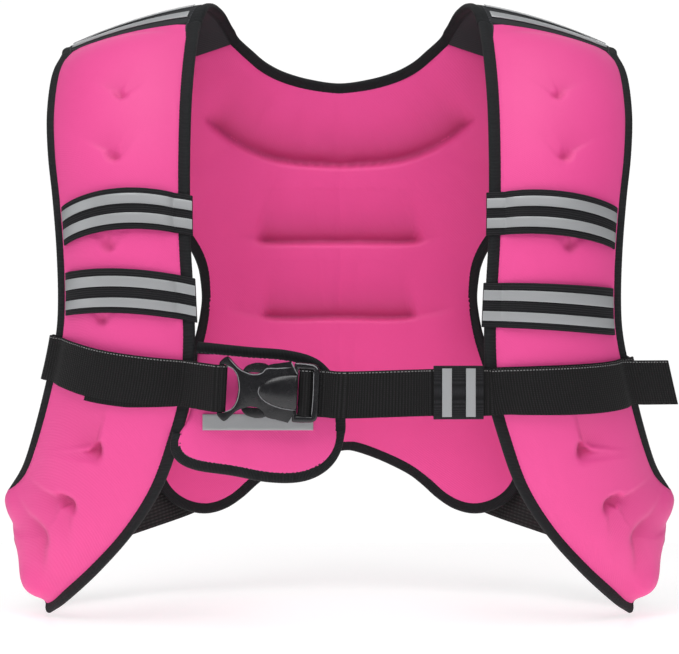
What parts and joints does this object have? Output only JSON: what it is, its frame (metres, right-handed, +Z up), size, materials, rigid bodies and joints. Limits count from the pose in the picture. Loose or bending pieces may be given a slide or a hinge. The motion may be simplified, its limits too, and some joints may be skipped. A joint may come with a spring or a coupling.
{
  "type": "weighted vest",
  "caption": "Padded weighted vest in its worn form: two front panels, back panel, shoulder yokes, elastic side gussets, webbing belt and side-release buckle.",
  "frame": {"origin": "middle of the line where the vest sits on the wearer's shoulders", "axes": "+X across the wearer, to the right as seen from the front, -Y towards the front, +Z up"},
  "size_m": [0.4978, 0.2545, 0.4546],
  "materials": {
    "neoprene": "pink knit-faced neoprene over a soft weighted filling",
    "binding": "black ribbed polyester tape folded over the edges and stitched",
    "lining": "black knit neoprene",
    "elastic": "black ribbed elastic band",
    "gusset": "wide black ribbed elastic",
    "webbing": "black woven polypropylene webbing with light edge threads",
    "buckle": "black moulded acetal, glossy",
    "reflective": "silver grey reflective tape"
  },
  "bodies": {
    "root": {"back_panel": "neoprene", "front_panel_left": "neoprene", "front_panel_right": "neoprene", "buckle_guard": "neoprene", "front_inner_binding_left": "binding", "front_inner_binding_right": "binding", "front_outer_binding_left": "binding", "front_outer_binding_right": "binding", "neck_binding": "binding", "back_binding": "binding", "guard_binding": "binding", "shoulder_yoke_left": "lining", "shoulder_yoke_right": "lining", "upper_loop_left": "elastic", "lower_loop_left": "elastic", "upper_loop_right": "elastic", "lower_loop_right": "elastic", "belt_keeper": "elastic", "side_gusset_left": "gusset", "side_gusset_right": "gusset", "belt_left": "webbing", "belt_right": "webbing", "buckle_socket": "buckle", "buckle_plug": "buckle", "shoulder_stripe_left_1": "reflective", "shoulder_stripe_left_2": "reflective", "shoulder_stripe_right_1": "reflective", "shoulder_stripe_right_2": "reflective", "upper_stripe_left_1": "reflective", "upper_stripe_left_2": "reflective", "lower_stripe_left_1": "reflective", "lower_stripe_left_2": "reflective", "upper_stripe_right_1": "reflective", "upper_stripe_right_2": "reflective", "lower_stripe_right_1": "reflective", "lower_stripe_right_2": "reflective", "keeper_stripe_1": "reflective", "keeper_stripe_2": "reflective", "guard_reflector": "reflective"}
  },
  "joints": []
}
